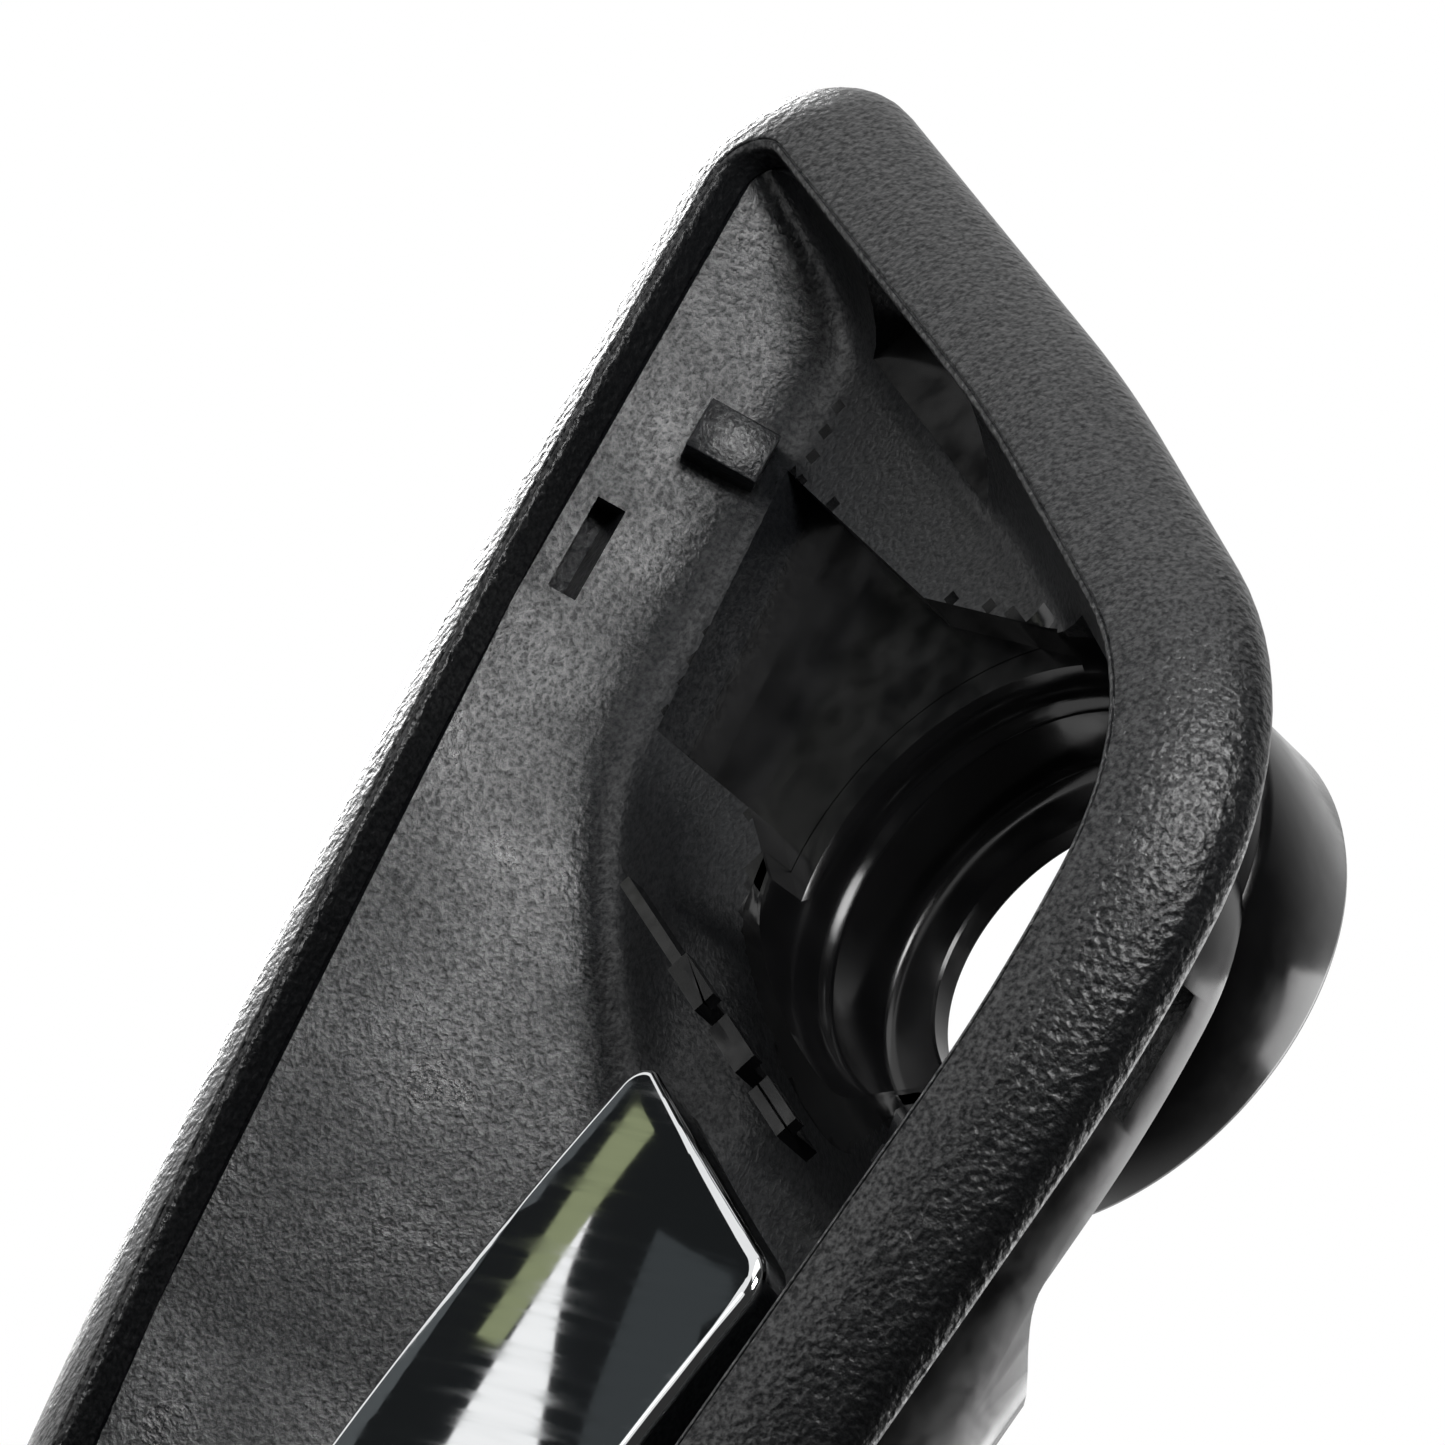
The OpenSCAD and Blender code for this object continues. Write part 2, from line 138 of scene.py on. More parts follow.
def solid(name, points, faces):
    """A mesh object from points in millimetres."""
    mesh = bpy.data.meshes.new(name)
    mesh.from_pydata([Vector(p) * MM for p in points], [], faces)
    obj = bpy.data.objects.new(name, mesh)
    bpy.context.scene.collection.objects.link(obj)
    return obj


def face_outwards(obj, merge=0.001):
    """Merges doubles and turns every face outwards."""
    activate(obj)
    bpy.ops.object.mode_set(mode="EDIT")
    bpy.ops.mesh.select_all(action="SELECT")
    bpy.ops.mesh.remove_doubles(threshold=merge * MM)
    bpy.ops.mesh.normals_make_consistent(inside=False)
    bpy.ops.object.mode_set(mode="OBJECT")


def boolean(obj, other, operation):
    """Applies a boolean with another solid, which is then removed."""
    activate(obj)
    cut = obj.modifiers.new("cut", "BOOLEAN")
    cut.operation = operation
    cut.solver = "EXACT"
    cut.object = other
    bpy.ops.object.modifier_apply(modifier=cut.name)
    bpy.data.objects.remove(other)


def round_edges(obj, width, segments=2, angle=35):
    """Rounds the sharp edges, as a mould leaves them."""
    activate(obj)
    edge = obj.modifiers.new("edge", "BEVEL")
    edge.width = width * MM
    edge.segments = segments
    edge.limit_method = "ANGLE"
    edge.angle_limit = math.radians(angle)
    edge.harden_normals = False
    bpy.ops.object.modifier_apply(modifier=edge.name)


def smooth(obj, angle=35):
    activate(obj)
    bpy.ops.object.shade_smooth_by_angle(angle=math.radians(angle))


def unit(v):
    length = math.hypot(*v)
    return (v[0] / length, v[1] / length)


def inset(sides):
    """The outline's corners with each side moved in by its own distance."""
    moved = []
    for i, (x, z, radius, side) in enumerate(CORNERS):
        before, after = CORNERS[i - 1], CORNERS[(i + 1) % len(CORNERS)]
        d = unit((x - before[0], z - before[1]))
        e = unit((after[0] - x, after[1] - z))
        s, t = sides[before[3]], sides[side]
        p = (x - d[1] * s, z + d[0] * s)
        q = (x - e[1] * t, z + e[0] * t)
        cross = d[0] * e[1] - d[1] * e[0]
        along = ((q[0] - p[0]) * e[1] - (q[1] - p[1]) * e[0]) / cross
        moved.append((p[0] + d[0] * along, p[1] + d[1] * along, max(radius - (s + t) / 2, 3)))
    return moved


def corner_reach(corners, i):
    """Unit directions away from a corner, and half the angle between them."""
    x, z, _ = corners[i]
    a, c = corners[i - 1], corners[(i + 1) % len(corners)]
    u = unit((a[0] - x, a[1] - z))
    v = unit((c[0] - x, c[1] - z))
    return u, v, math.acos(max(-1, min(1, u[0] * v[0] + u[1] * v[1]))) / 2


def fitted(corners):
    """The same corners, with radii small enough that neighbouring arcs don't meet."""
    reach = [r / math.tan(corner_reach(corners, i)[2]) for i, (_, _, r) in enumerate(corners)]
    scale = [1.0] * len(corners)
    for i, (x, z, _) in enumerate(corners):
        j = (i + 1) % len(corners)
        room = 0.96 * math.hypot(corners[j][0] - x, corners[j][1] - z)
        if reach[i] + reach[j] > room:
            fit = room / (reach[i] + reach[j])
            scale[i], scale[j] = min(scale[i], fit), min(scale[j], fit)
    return [(x, z, r * f) for (x, z, r), f in zip(corners, scale)]


def rounded(corners, arc_steps=14, straight_steps=6):
    """A closed outline with rounded corners, with the same number of points at every inset."""
    arcs = []
    corners = fitted(corners)
    for i, (x, z, radius) in enumerate(corners):
        u, v, half = corner_reach(corners, i)
        w = unit((u[0] + v[0], u[1] + v[1]))
        mid = (x + w[0] * radius / math.sin(half), z + w[1] * radius / math.sin(half))
        reach = radius / math.tan(half)
        p = (x + u[0] * reach - mid[0], z + u[1] * reach - mid[1])
        q = (x + v[0] * reach - mid[0], z + v[1] * reach - mid[1])
        start = math.atan2(p[1], p[0])
        turn = math.atan2(p[0] * q[1] - p[1] * q[0], p[0] * q[0] + p[1] * q[1])
        arcs.append([(mid[0] + radius * math.cos(start + turn * k / arc_steps),
                      mid[1] + radius * math.sin(start + turn * k / arc_steps)) for k in range(arc_steps + 1)])
    points = []
    for i, arc in enumerate(arcs):
        points += arc
        a, b = arc[-1], arcs[(i + 1) % len(arcs)][0]
        points += [(a[0] + (b[0] - a[0]) * k / straight_steps, a[1] + (b[1] - a[1]) * k / straight_steps)
                   for k in range(1, straight_steps)]
    return points


def even(d):
    return (d, d, d, d)


def between(a, b, t):
    return tuple(p + (q - p) * t for p, q in zip(a, b))


def ring(sides, y):
    return [(x, y, z) for x, z in rounded(inset(sides))]


def loft(name, rings, closed=False):
    """A solid through rings of equal length; its ends are capped unless it closes on itself."""
    n = len(rings[0])
    count = len(rings)
    faces = []
    for r in range(count if closed else count - 1):
        s = (r + 1) % count
        faces += [(r * n + k, r * n + (k + 1) % n, s * n + (k + 1) % n, s * n + k) for k in range(n)]
    if not closed:
        faces += [tuple(range(n)), tuple((count - 1) * n + k for k in range(n))]
    obj = solid(name, [p for r in rings for p in r], faces)
    face_outwards(obj)
    return obj


def prism(name, outline, y0, y1):
    """An outline in x and z, carried from depth y0 to y1."""
    return loft(name, [[(x, y, z) for x, z in outline] for y in (y0, y1)])


def lathe(name, section, centre, steps=128):
    """A solid turned about an axis along Y from a closed section of (radius, y)."""
    rings = [[(centre[0] + r * math.cos(2 * math.pi * k / steps), y, centre[1] + r * math.sin(2 * math.pi * k / steps))
              for r, y in section] for k in range(steps)]
    return loft(name, rings, closed=True)


def block(name, low, high, turn=0.0, about=(0, 0), tilt=0.0):
    """A box, tilted about its own X axis and then turned in x and z about a point."""
    bpy.ops.mesh.primitive_cube_add(size=1)
    obj = bpy.context.active_object
    obj.name = name
    size = Vector(high) - Vector(low)
    centre = (Vector(high) + Vector(low)) / 2
    turned = Matrix.Rotation(-turn, 4, "Y") @ Matrix.Rotation(tilt, 4, "X")
    place = Matrix.Translation(Vector((about[0], 0, about[1])) * MM) @ turned
    shape = Matrix.Translation(centre * MM) @ Matrix.Diagonal((*size * MM, 1))
    obj.data.transform(place @ shape)
    return obj


def finish_piece(obj, body, material, replaced=(), angle=35):
    smooth(obj, angle)
    if material:
        obj.data.materials.clear()
        obj.data.materials.append(material)
    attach(obj, body)
    if replaced:
        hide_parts(*replaced)
    return obj


# Materials ---------------------------------------------------------------------------------

def new_material(name):
    material = bpy.data.materials.new(name)
    material.use_nodes = True
    tree = material.node_tree
    shader = tree.nodes["Principled BSDF"]
    coords = add_node(tree, "ShaderNodeTexCoord").outputs["Object"]
    return material, tree, shader, coords


def abs_leather_grain():
    """Black ABS, moulded against an etched leather grain: pebbles 0.7 mm apart that glint one by one."""
    material, tree, shader, coords = new_material("ABS_moulded_leather_grain")
    warp = add_node(tree, "ShaderNodeTexNoise", {"Scale": 1 / (2.2 * MM), "Detail": 2.0}, {"Vector": coords})
    bent = add_node(tree, "ShaderNodeMixRGB", {"blend_type": "ADD", "Fac": 0.0006},
                    {"Color1": coords, "Color2": warp.outputs["Color"]})
    pebbles = add_node(tree, "ShaderNodeTexVoronoi", {"feature": "SMOOTH_F1", "Scale": 1 / (0.7 * MM), "Smoothness": 0.5},
                       {"Vector": bent.outputs["Color"]})
    fine = add_node(tree, "ShaderNodeTexNoise", {"Scale": 1 / (0.35 * MM), "Detail": 3.0}, {"Vector": coords})
    height = add_node(tree, "ShaderNodeMixRGB", {"blend_type": "MIX", "Fac": 0.45},
                      {"Color1": pebbles.outputs["Distance"], "Color2": fine.outputs["Fac"]})
    bump = add_node(tree, "ShaderNodeBump", {"Strength": 1.0, "Distance": 0.2 * MM}, {"Height": height.outputs["Color"]})
    patch = add_node(tree, "ShaderNodeTexNoise", {"Scale": 1 / (14 * MM), "Detail": 3.0}, {"Vector": coords})
    rough = add_node(tree, "ShaderNodeMapRange", {"To Min": 0.3, "To Max": 0.42}, {"Value": patch.outputs["Fac"]})
    colour = add_node(tree, "ShaderNodeMixRGB", {"Color1": linear("#151617"), "Color2": linear("#1d1e20")},
                      {"Fac": patch.outputs["Fac"]})
    glint = add_node(tree, "ShaderNodeMapRange", {"From Min": 0.36, "From Max": 0.66, "To Min": 0.2, "To Max": 0.85},
                     {"Value": fine.outputs["Fac"]})
    tree.links.new(glint.outputs["Result"], shader.inputs["Specular IOR Level"])
    tree.links.new(colour.outputs["Color"], shader.inputs["Base Color"])
    tree.links.new(rough.outputs["Result"], shader.inputs["Roughness"])
    tree.links.new(bump.outputs["Normal"], shader.inputs["Normal"])
    shader.inputs["IOR"].default_value = 1.5
    return material


def abs_spark_grain():
    """Black ABS, moulded against a spark-eroded face: a fine matt grain with a cloudy grey sheen."""
    material, tree, shader, coords = new_material("ABS_moulded_spark_grain")
    grain = add_node(tree, "ShaderNodeTexNoise", {"Scale": 1 / (0.45 * MM), "Detail": 3.0, "Roughness": 0.65},
                     {"Vector": coords})
    cloud = add_node(tree, "ShaderNodeTexNoise", {"Scale": 1 / (1.3 * MM), "Detail": 2.0}, {"Vector": coords})
    height = add_node(tree, "ShaderNodeMixRGB", {"Fac": 0.4},
                      {"Color1": grain.outputs["Fac"], "Color2": cloud.outputs["Fac"]})
    bump = add_node(tree, "ShaderNodeBump", {"Strength": 0.9, "Distance": 0.12 * MM}, {"Height": height.outputs["Color"]})
    patch = add_node(tree, "ShaderNodeTexNoise", {"Scale": 1 / (9 * MM), "Detail": 4.0}, {"Vector": coords})
    rough = add_node(tree, "ShaderNodeMapRange", {"From Min": 0.3, "From Max": 0.7, "To Min": 0.26, "To Max": 0.42}, {"Value": patch.outputs["Fac"]})
    colour = add_node(tree, "ShaderNodeMixRGB", {"Color1": linear("#131416"), "Color2": linear("#202225")},
                      {"Fac": cloud.outputs["Fac"]})
    glint = add_node(tree, "ShaderNodeMapRange", {"From Min": 0.36, "From Max": 0.64, "To Min": 0.28, "To Max": 0.75},
                     {"Value": grain.outputs["Fac"]})
    tree.links.new(glint.outputs["Result"], shader.inputs["Specular IOR Level"])
    tree.links.new(colour.outputs["Color"], shader.inputs["Base Color"])
    tree.links.new(rough.outputs["Result"], shader.inputs["Roughness"])
    tree.links.new(bump.outputs["Normal"], shader.inputs["Normal"])
    shader.inputs["IOR"].default_value = 1.5
    return material


def abs_smooth():
    """Black ABS, moulded against a plain tool face: glossy, with faint flow ripples and rubbed patches."""
    material, tree, shader, coords = new_material("ABS_moulded_smooth")
    flow = add_node(tree, "ShaderNodeTexNoise", {"Scale": 1 / (6 * MM), "Detail": 2.0, "Distortion": 0.6},
                    {"Vector": coords})
    bump = add_node(tree, "ShaderNodeBump", {"Strength": 0.25, "Distance": 0.15 * MM}, {"Height": flow.outputs["Fac"]})
    rub = add_node(tree, "ShaderNodeTexNoise", {"Scale": 1 / (3.5 * MM), "Detail": 5.0}, {"Vector": coords})
    rough = add_node(tree, "ShaderNodeMapRange", {"From Min": 0.35, "From Max": 0.7, "To Min": 0.13, "To Max": 0.27},
                     {"Value": rub.outputs["Fac"]})
    colour = add_node(tree, "ShaderNodeMixRGB", {"Color1": linear("#0d0d0e"), "Color2": linear("#171718")},
                      {"Fac": rub.outputs["Fac"]})
    tree.links.new(colour.outputs["Color"], shader.inputs["Base Color"])
    tree.links.new(rough.outputs["Result"], shader.inputs["Roughness"])
    tree.links.new(bump.outputs["Normal"], shader.inputs["Normal"])
    shader.inputs["IOR"].default_value = 1.5
    return material


def chrome_plated():
    """Bright chromium over polished ABS: a mirror with a slow ripple and faint wiping marks."""
    material, tree, shader, coords = new_material("chrome_plated_polished")
    ripple = add_node(tree, "ShaderNodeTexNoise", {"Scale": 1 / (16 * MM), "Detail": 1.0}, {"Vector": coords})
    bump = add_node(tree, "ShaderNodeBump", {"Strength": 0.3, "Distance": 0.12 * MM}, {"Height": ripple.outputs["Fac"]})
    stretch = add_node(tree, "ShaderNodeMapping", {"Scale": (1.0, 1.0, 0.08)}, {"Vector": coords})
    wipe = add_node(tree, "ShaderNodeTexNoise", {"Scale": 1 / (0.9 * MM), "Detail": 4.0},
                    {"Vector": stretch.outputs["Vector"]})
    rough = add_node(tree, "ShaderNodeMapRange", {"From Min": 0.45, "From Max": 0.8, "To Min": 0.03, "To Max": 0.09},
                     {"Value": wipe.outputs["Fac"]})
    shader.inputs["Metallic"].default_value = 1.0
    colour = add_node(tree, "ShaderNodeMixRGB", {"Color1": linear("#e6e7e8"), "Color2": linear("#dcdedf")},
                      {"Fac": wipe.outputs["Fac"]})
    tree.links.new(colour.outputs["Color"], shader.inputs["Base Color"])
    tree.links.new(rough.outputs["Result"], shader.inputs["Roughness"])
    tree.links.new(bump.outputs["Normal"], shader.inputs["Normal"])
    return material


def nylon_glass_filled():
    """Black glass-filled nylon, moulded: matt, with short fibres showing as faint streaks."""
    material, tree, shader, coords = new_material("nylon_glass_filled_moulded")
    stretch = add_node(tree, "ShaderNodeMapping", {"Scale": (0.2, 1.0, 1.0)}, {"Vector": coords})
    fibre = add_node(tree, "ShaderNodeTexNoise", {"Scale": 1 / (0.3 * MM), "Detail": 3.0},
                     {"Vector": stretch.outputs["Vector"]})
    bump = add_node(tree, "ShaderNodeBump", {"Strength": 0.3, "Distance": 0.05 * MM}, {"Height": fibre.outputs["Fac"]})
    rough = add_node(tree, "ShaderNodeMapRange", {"To Min": 0.38, "To Max": 0.6}, {"Value": fibre.outputs["Fac"]})
    colour = add_node(tree, "ShaderNodeMixRGB", {"Color1": linear("#0e0e0f"), "Color2": linear("#1a1a1c")},
                      {"Fac": fibre.outputs["Fac"]})
    tree.links.new(colour.outputs["Color"], shader.inputs["Base Color"])
    tree.links.new(rough.outputs["Result"], shader.inputs["Roughness"])
    tree.links.new(bump.outputs["Normal"], shader.inputs["Normal"])
    return material


def steel(name, light, dark, low, high):
    """Steel wire, sheet or turned stock: drawing lines along its length and a mottled plate."""
    material, tree, shader, coords = new_material(name)
    stretch = add_node(tree, "ShaderNodeMapping", {"Scale": (1.0, 1.0, 0.12)}, {"Vector": coords})
    lines = add_node(tree, "ShaderNodeTexNoise", {"Scale": 1 / (0.25 * MM), "Detail": 4.0},
                     {"Vector": stretch.outputs["Vector"]})
    mottle = add_node(tree, "ShaderNodeTexNoise", {"Scale": 1 / (2.5 * MM), "Detail": 3.0}, {"Vector": coords})
    bump = add_node(tree, "ShaderNodeBump", {"Strength": 0.2, "Distance": 0.02 * MM}, {"Height": lines.outputs["Fac"]})
    rough = add_node(tree, "ShaderNodeMapRange", {"To Min": low, "To Max": high}, {"Value": mottle.outputs["Fac"]})
    colour = add_node(tree, "ShaderNodeMixRGB", {"Color1": linear(light), "Color2": linear(dark)},
                      {"Fac": mottle.outputs["Fac"]})
    tree.links.new(colour.outputs["Color"], shader.inputs["Base Color"])
    tree.links.new(rough.outputs["Result"], shader.inputs["Roughness"])
    tree.links.new(bump.outputs["Normal"], shader.inputs["Normal"])
    shader.inputs["Metallic"].default_value = 1.0
    return material


def rubber_moulded():
    """Black rubber, moulded: dull, dusty at the edges of its fine pores."""
    material, tree, shader, coords = new_material("rubber_moulded")
    pores = add_node(tree, "ShaderNodeTexNoise", {"Scale": 1 / (0.4 * MM), "Detail": 3.0}, {"Vector": coords})
    bump = add_node(tree, "ShaderNodeBump", {"Strength": 0.3, "Distance": 0.05 * MM}, {"Height": pores.outputs["Fac"]})
    colour = add_node(tree, "ShaderNodeMixRGB", {"Color1": linear("#161616"), "Color2": linear("#2b2a29")},
                      {"Fac": pores.outputs["Fac"]})
    rough = add_node(tree, "ShaderNodeMapRange", {"To Min": 0.65, "To Max": 0.9}, {"Value": pores.outputs["Fac"]})
    tree.links.new(colour.outputs["Color"], shader.inputs["Base Color"])
    tree.links.new(rough.outputs["Result"], shader.inputs["Roughness"])
    tree.links.new(bump.outputs["Normal"], shader.inputs["Normal"])
    return material


LEATHER = abs_leather_grain()
SPARK = abs_spark_grain()
SMOOTH = abs_smooth()
CHROME = chrome_plated()
NYLON = nylon_glass_filled()
ZINC = steel("steel_zinc_plated", "#c9ccce", "#a7abad", 0.22, 0.42)
SPRING = steel("spring_steel_oil_tempered", "#6f7174", "#48494c", 0.25, 0.5)
RUBBER = rubber_moulded()


# Bezel -------------------------------------------------------------------------------------

def make_flange():
    """The grained rim: rounded outer edge, crowned face, a fine bead line and a deep inner lip."""
    section = [(6.2, SEAT_Y), (0.5, SEAT_Y), (0.12, SEAT_Y - 0.15), (0, SEAT_Y - 0.5), (0, EDGE_Y + 1.4),
               (0.06, EDGE_Y + 0.9), (0.22, EDGE_Y + 0.4), (0.5, EDGE_Y - 0.1), (0.9, EDGE_Y - 0.6)]
    crown = 8
    for k in range(crown + 1):
        t = k / crown
        section.append((1.4 + 6.1 * t, EDGE_Y - 1.1 - 3.25 * t - 0.5 * math.sin(math.pi * t)))
    section += [(7.8, CREST_Y + 0.07), (8.05, CREST_Y), (8.15, CREST_Y + 0.02), (8.22, CREST_Y + 0.16),
                (8.3, CREST_Y + 0.16), (8.37, CREST_Y + 0.04), (8.55, CREST_Y + 0.06), (8.75, CREST_Y + 0.2),
                (8.86, CREST_Y + 0.45), (LIP, CREST_Y + 0.9), (LIP + 0.05, LIP_Y + 0.15), (8.5, LIP_Y + 0.3),
                (7.4, LIP_Y + 1.5)]
    flange = loft("bezel_flange_skin", [ring(even(d + 0.05), y) for d, y in section], closed=True)
    smooth(flange, 50)
    return finish_piece(flange, HOUSING, LEATHER, ["bezel_flange"], angle=50)


def wall_rings(levels, floor_y, fillet):
    """Rings down a wall through (sides, y) levels, ending in a fillet on the floor."""
    rings = []
    for (a, ya), (b, yb) in zip(levels, levels[1:]):
        for k in range(4):
            t = k / 4
            if ya + (yb - ya) * t < floor_y - fillet - 0.1:
                rings.append((between(a, b, t), ya + (yb - ya) * t))
    (a, ya), (b, yb) = levels[-2:]
    t = (floor_y - fillet - ya) / (yb - ya)
    foot = between(a, b, t)
    for k in range(6):
        turn = math.radians(18 * k)
        grow = fillet * (1 - math.cos(turn)) * 0.9
        rings.append((tuple(s + grow + (e - s) * 0.55 * math.sin(turn) for s, e in zip(foot, b)),
                      floor_y - fillet * (1 - math.sin(turn))))
    return [ring(s, y) for s, y in rings]


def scoop_walls():
    """The hollow inside its side walls; the field of surface heights shapes its floor and its lower slope."""
    levels = [(even(LIP + 0.1), LIP_Y - 3), (even(LIP + 0.1), LIP_Y + 0.1), (SEAT_IN, SEAT_Y), (BEND_IN, BEND_Y),
              (FLOOR_IN, FLOOR_Y + 6)]
    inner = [((min(a, 9.6 + 0.25 * (y - SEAT_Y)), b, c, min(d, 9.6 + 0.12 * (y - SEAT_Y))), y)
             for (a, b, c, d), y in levels]
    return loft("hollow", wall_rings(inner, FLOOR_Y + 5, 1.5))


def soft_min(a, b, k):
    reach = np.maximum(k - np.abs(a - b), 0)
    return np.minimum(a, b) - reach * reach / (4 * k)


def side_distance(x, z, side):
    """How far a point lies inside the nearest edge of one side of the bezel."""
    best = np.full(np.shape(x), 1e3)
    for i, (ax, az, _, owner) in enumerate(CORNERS):
        bx, bz = CORNERS[(i + 1) % len(CORNERS)][:2]
        if owner == side:
            d = unit((bx - ax, bz - az))
            best = np.minimum(best, -(x - ax) * d[1] + (z - az) * d[0])
    return best


def surface_height(x, z, skin=0.0):
    """Depth of the moulding's face: lower slope, scoop floor, soft step, tip plateau and end wall.

    With a skin it's the depth of the back of the moulding instead."""
    across = -(x - STEP[0]) * math.sin(STEP_ANGLE) + (z - STEP[1]) * math.cos(STEP_ANGLE)
    low_side = 1 / (1 + np.exp((z + 8) / 3))
    spread = 12 + 16 * low_side
    foot = -4 - 16 * low_side
    t = np.clip((across - foot) / spread, 0, 1)
    rise = t * t * (3 - 2 * t)
    level = FLOOR_Y + (PLATEAU_Y - FLOOR_Y) * rise + 2.75 * skin
    bottom = LIP_Y + 1.22 * (side_distance(x, z, BOTTOM) - LIP) + 2 * skin
    end = LIP_Y + 3.2 * (side_distance(x, z, END) - LIP) + 0.3 + 4.6 * skin
    height = soft_min(soft_min(level, bottom, 3.5), end, 11)
    return np.maximum(height, LIP_Y - 1)


def surface_block(name, base_y, skin=0.0):
    """Everything between the moulding's face, or its back, and a flat base."""
    across = np.concatenate([np.linspace(-140, -25, 70), np.linspace(-24, 16, 56), np.linspace(17, 64, 52)])
    along = np.linspace(-74, 102, 150)
    v, u = np.meshgrid(across, along, indexing="ij")
    x = STEP[0] + u * math.cos(STEP_ANGLE) - v * math.sin(STEP_ANGLE)
    z = STEP[1] + u * math.sin(STEP_ANGLE) + v * math.cos(STEP_ANGLE)
    height = surface_height(x, z, skin)
    rows, cols = v.shape
    top = [(x[i, j], height[i, j], z[i, j]) for i in range(rows) for j in range(cols)]
    base = [(p[0], base_y, p[2]) for p in top]
    n = rows * cols

    def at(i, j, low=0):
        return low * n + i * cols + j

    faces = []
    for i in range(rows - 1):
        for j in range(cols - 1):
            faces.append((at(i, j), at(i, j + 1), at(i + 1, j + 1), at(i + 1, j)))
            faces.append((at(i, j, 1), at(i + 1, j, 1), at(i + 1, j + 1, 1), at(i, j + 1, 1)))
    for i in range(rows - 1):
        for j in (0, cols - 1):
            faces.append((at(i, j), at(i + 1, j), at(i + 1, j, 1), at(i, j, 1)))
    for j in range(cols - 1):
        for i in (0, rows - 1):
            faces.append((at(i, j), at(i, j + 1), at(i, j + 1, 1), at(i, j, 1)))
    whole = solid(name, top + base, faces)
    face_outwards(whole)
    return whole


def drafted(name, outline, y0, y1, draft):
    """An outline cut that narrows by a draft towards its far end."""
    cx = sum(p[0] for p in outline) / len(outline)
    cz = sum(p[1] for p in outline) / len(outline)
    rings = []
    for y, shrink in ((y0, 0), (y1, draft)):
        rings.append([(x + (cx - x) * shrink, y, z + (cz - z) * shrink) for x, z in outline])
    return loft(name, rings)


POCKET = [(-94, -23), (-71, -21.5), (-66, -7.5), (-61, -2), (-65.5, 16), (-84.2, 13), (-85.2, -2)]


def outer_shell():
    """The outside of the moulding: lofted walls, with a back that follows the surface at the tip."""
    rings = [ring(even(LIP - 0.6), LIP_Y + 0.4), ring(SEAT_OUT, SEAT_Y)]
    rings += [ring(between(SEAT_OUT, BEND_OUT, t), SEAT_Y + (BEND_Y - SEAT_Y) * t) for t in (0.35, 0.7)]
    rings += [ring(between(BEND_OUT, FLOOR_OUT, t), BEND_Y + (FLOOR_BACK - BEND_Y) * math.sin(t * math.pi / 2) ** 0.9)
              for t in (0, 0.2, 0.4, 0.6, 0.8, 1)]
    shell = loft("bezel_pan_skin", rings)
    boolean(shell, surface_block("back", 14, 2.0), "DIFFERENCE")
    return shell


def make_pan():
    """The whole inside moulding: scoop, tip plateau, pocket, and the openings through them."""
    pan = outer_shell()
    hollow = scoop_walls()
    boolean(hollow, surface_block("open_side", -40), "INTERSECT")
    boolean(hollow, drafted("pocket", POCKET, PLATEAU_Y - 6, POCKET_Y, 0.04), "UNION")
    boolean(pan, hollow, "DIFFERENCE")
    bore = lathe("bore", [(0.01, PLATEAU_Y - 3), (18.5, PLATEAU_Y - 3), (18.5, PLATEAU_Y + 0.4), (20.4, PLATEAU_Y + 0.4),
                          (20.4, 8), (0.01, 8)], DUCT)
    boolean(pan, bore, "DIFFERENCE")
    window = block("window", (-11, -22, -4.5), (11, -14, 4.5), STEP_ANGLE, (-100, -9))
    boolean(pan, window, "DIFFERENCE")
    for name, low, high, lean, operation in (("slot_box", (-5, -2.2, -4.6), (5, 2.2, -0.8), 40, "UNION"),
                                             ("slot", (-3.9, -1.1, -3.4), (3.9, 1.1, 6), 22, "DIFFERENCE")):
        part = block(name, low, high, tilt=math.radians(lean))
        part.data.transform(Matrix.Translation(Vector((-81.3, -20.4, -29.9)) * MM))
        boolean(pan, part, operation)
    boolean(pan, block("recess", (-60, -14, 34.6), (-50, -10.6, 50)), "DIFFERENCE")
    for name in ("screw_sleeves",):
        low, high = (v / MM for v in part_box(name))
        r = (high.z - low.z - 9) / 2
        for x, z in ((low.x + r, low.z + r), (high.x - r, high.z - r)):
            boolean(pan, lathe("boss", [(0.01, FLOOR_Y - 3), (r + 2, FLOOR_Y - 3), (r + 2, -0.6), (0.01, -0.6)],
                               (x, z), 48), "UNION")
            boolean(pan, lathe("hole", [(0.01, FLOOR_Y - 8), (r, FLOOR_Y - 8), (r, 4), (0.01, 4)],
                               (x, z), 48), "DIFFERENCE")
    low, high = (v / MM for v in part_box("rest_bumper"))
    boolean(pan, lathe("post", [(0.01, high.y), (3.5, high.y), (3.5, -0.6), (0.01, -0.6)],
                       ((low.x + high.x) / 2, (low.z + high.z) / 2), 48), "UNION")
    crank_low, crank_high = (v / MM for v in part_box("cable_crank"))
    mid = (crank_low.z + crank_high.z) / 2
    boolean(pan, block("crank_slot", (HINGE.x - 12.8, BEND_Y - 1, mid - 2.4), (HINGE.x + 4.2, 1, mid + 2.4)),
            "DIFFERENCE")
    pin_low, pin_high = (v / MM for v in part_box("hinge_pin"))
    access = block("access", (HINGE.x - 3.7, HINGE.y - 3.7, -30), (HINGE.x + 3.7, HINGE.y + 3.7, pin_low.z + 1))
    boolean(pan, access, "DIFFERENCE")
    finish_piece(pan, HOUSING, SPARK, ["scoop_pan", "speaker_pan"], angle=32)
    paint_smooth_faces(pan)
    return pan


